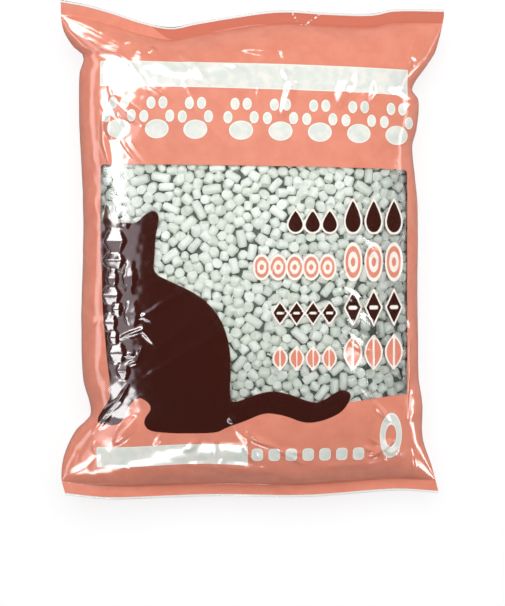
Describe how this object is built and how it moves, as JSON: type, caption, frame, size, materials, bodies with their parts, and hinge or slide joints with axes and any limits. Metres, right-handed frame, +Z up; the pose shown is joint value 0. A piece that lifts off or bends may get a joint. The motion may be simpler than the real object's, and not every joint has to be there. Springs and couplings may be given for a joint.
{
  "type": "cat litter bag",
  "caption": "Sealed pillow bag of clear printed film, full of paper litter pellets that show through its window, lying on its back.",
  "frame": {"origin": "under the middle of the bag, on the surface it lies on", "axes": "+Z up, out of the printed front; +Y towards the top end of the bag; +X to the right of the print"},
  "size_m": [0.3456, 0.45, 0.0981],
  "materials": {
    "printed_film": "glossy clear film with printed coral panels",
    "paper_litter": "matte pressed paper"
  },
  "bodies": {
    "root": {"film_bag": "printed_film", "litter_pellets": "paper_litter"}
  },
  "joints": []
}
